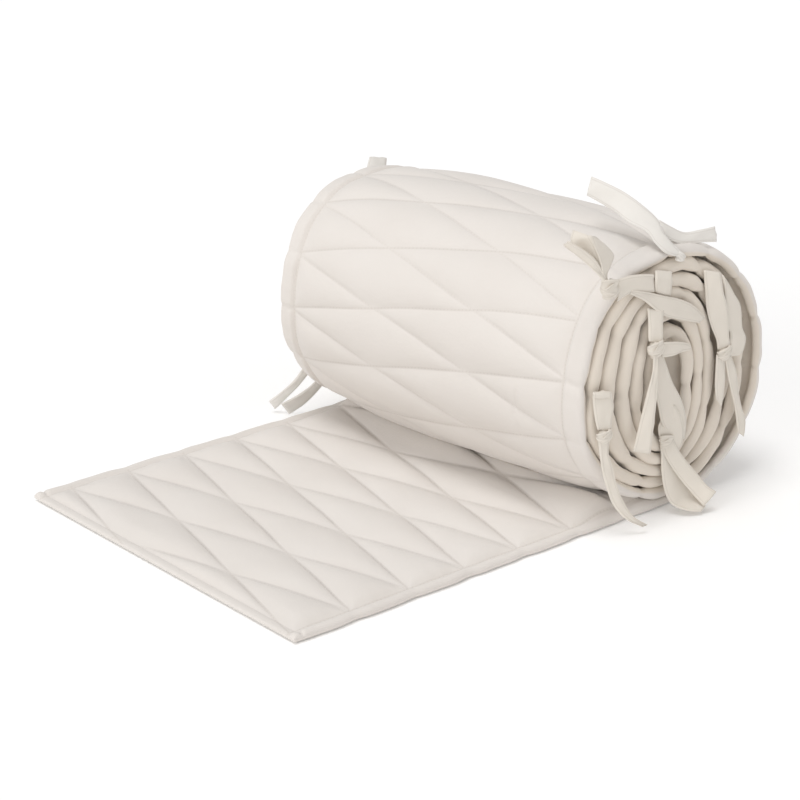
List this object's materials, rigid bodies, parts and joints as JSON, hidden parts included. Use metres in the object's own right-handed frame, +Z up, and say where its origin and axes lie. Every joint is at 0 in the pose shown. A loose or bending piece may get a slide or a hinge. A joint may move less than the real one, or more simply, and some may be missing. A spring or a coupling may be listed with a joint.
{
  "type": "crib bumper",
  "caption": "Quilted cloth crib bumper, partly unrolled: a padded strip with diamond quilting, rolled up with one end lying flat and cloth ties along both long edges.",
  "frame": {"origin": "middle of the underside of the box round the whole part", "axes": "+X along the strip from the tail's free end towards the roll, +Y across the strip to its far long edge, +Z up"},
  "size_m": [0.4418, 0.3674, 0.2353],
  "materials": {
    "quilted_cotton": "plain woven cotton, matte",
    "tie_cotton": "plain woven cotton, matte"
  },
  "bodies": {
    "root": {"quilted_strip": "quilted_cotton", "tie_top_rim": "tie_cotton", "tie_left_rim": "tie_cotton", "tie_right_turns": "tie_cotton", "tie_core": "tie_cotton", "tie_low_turns": "tie_cotton", "tie_left_turns": "tie_cotton", "tie_far_top": "tie_cotton", "tie_far_low": "tie_cotton"}
  },
  "joints": []
}
